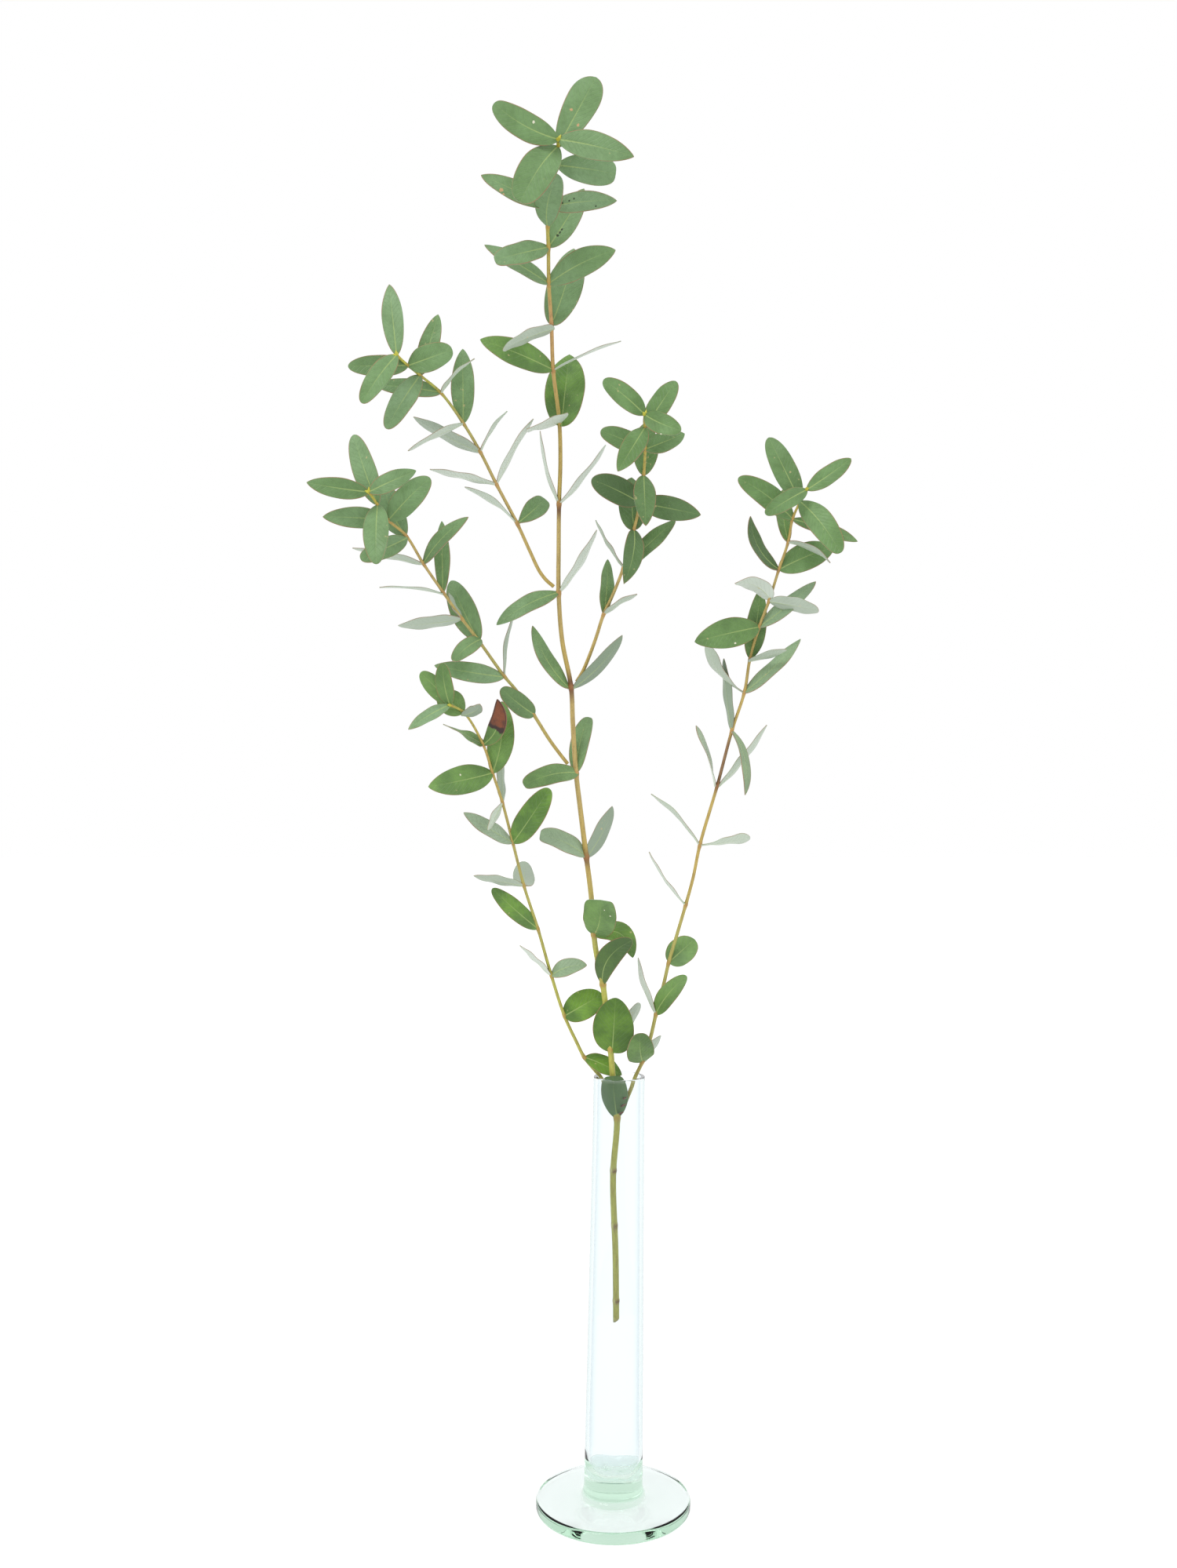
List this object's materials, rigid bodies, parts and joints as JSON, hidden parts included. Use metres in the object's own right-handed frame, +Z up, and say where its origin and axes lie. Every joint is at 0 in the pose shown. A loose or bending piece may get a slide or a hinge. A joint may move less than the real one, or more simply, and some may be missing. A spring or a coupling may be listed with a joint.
{
  "type": "eucalyptus branch",
  "caption": "Forked small-leaved eucalyptus branch with opposite oval leaves, standing cut end down in a slim clear glass bud vase on a disc foot.",
  "frame": {"origin": "middle of the underside of the vase's foot", "axes": "+Z up, +X to the right as seen from the front, +Y away from the viewer; the branch leans towards -Y"},
  "size_m": [0.2256, 0.1659, 0.603],
  "materials": {
    "clear_glass": "clear polished glass with a faint green cast",
    "gum_leaves": "satin mid-green leaves with a pale bloom, on tan to pinkish-brown stems",
    "low_gum_leaves": "satin yellow-green leaves on khaki stems"
  },
  "bodies": {
    "root": {"vase": "clear_glass", "main_shoot": "gum_leaves", "low_left_shoot": "low_gum_leaves", "low_right_shoot": "low_gum_leaves", "mid_left_shoot": "gum_leaves", "mid_right_shoot": "gum_leaves", "upper_left_shoot": "gum_leaves"}
  },
  "joints": []
}
